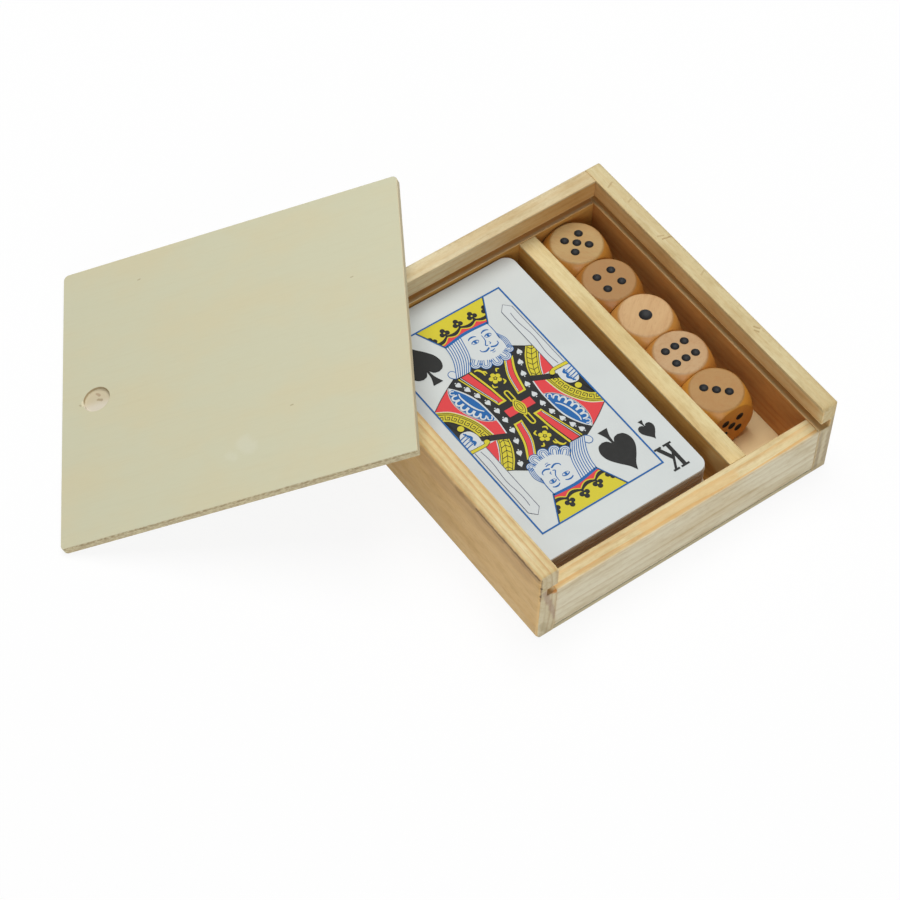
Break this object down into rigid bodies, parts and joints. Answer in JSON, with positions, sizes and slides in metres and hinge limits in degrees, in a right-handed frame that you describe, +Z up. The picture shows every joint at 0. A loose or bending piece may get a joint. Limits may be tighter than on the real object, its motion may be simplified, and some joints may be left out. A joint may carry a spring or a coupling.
{
  "type": "playing card box",
  "caption": "Small open wooden box with a sliding lid taken off and leaning on its corner, a divider, a deck of cards on one side and a row of dice on the other.",
  "frame": {"origin": "on the table, under the middle of the box without its lid", "axes": "+X from the cards towards the dice, +Y towards the closed end of the lid's groove, +Z up"},
  "size_m": [0.1853, 0.1727, 0.0401],
  "materials": {
    "pine": "matte",
    "plywood": "matte",
    "varnished_wood": "gloss",
    "card_stock": "satin"
  },
  "bodies": {
    "box": {"left_wall": "pine", "right_wall": "pine", "back_wall": "pine", "front_wall": "pine", "bottom_panel": "plywood", "divider": "pine"},
    "lid": {"lid": "plywood"},
    "deck": {"king_of_spades": "card_stock", "spade_cards": "card_stock", "diamond_cards": "card_stock", "club_cards": "card_stock", "heart_cards": "card_stock", "jokers": "card_stock"},
    "die_1": {"die_1": "varnished_wood"},
    "die_2": {"die_2": "varnished_wood"},
    "die_3": {"die_3": "varnished_wood"},
    "die_4": {"die_4": "varnished_wood"},
    "die_5": {"die_5": "varnished_wood"}
  },
  "joints": [
    {"name": "lid_lift", "type": "slide", "parent": "box", "child": "lid", "axis": [0, 0, 1], "range_m": [0, 0.12]},
    {"name": "deck_lift", "type": "slide", "parent": "box", "child": "deck", "axis": [0, 0, 1], "range_m": [0, 0.012]},
    {"name": "die_1_lift", "type": "slide", "parent": "box", "child": "die_1", "axis": [0, 0, 1], "range_m": [0, 0.045]},
    {"name": "die_2_lift", "type": "slide", "parent": "box", "child": "die_2", "axis": [0, 0, 1], "range_m": [0, 0.045]},
    {"name": "die_3_lift", "type": "slide", "parent": "box", "child": "die_3", "axis": [0, 0, 1], "range_m": [0, 0.045]},
    {"name": "die_4_lift", "type": "slide", "parent": "box", "child": "die_4", "axis": [0, 0, 1], "range_m": [0, 0.045]},
    {"name": "die_5_lift", "type": "slide", "parent": "box", "child": "die_5", "axis": [0, 0, 1], "range_m": [0, 0.045]}
  ]
}
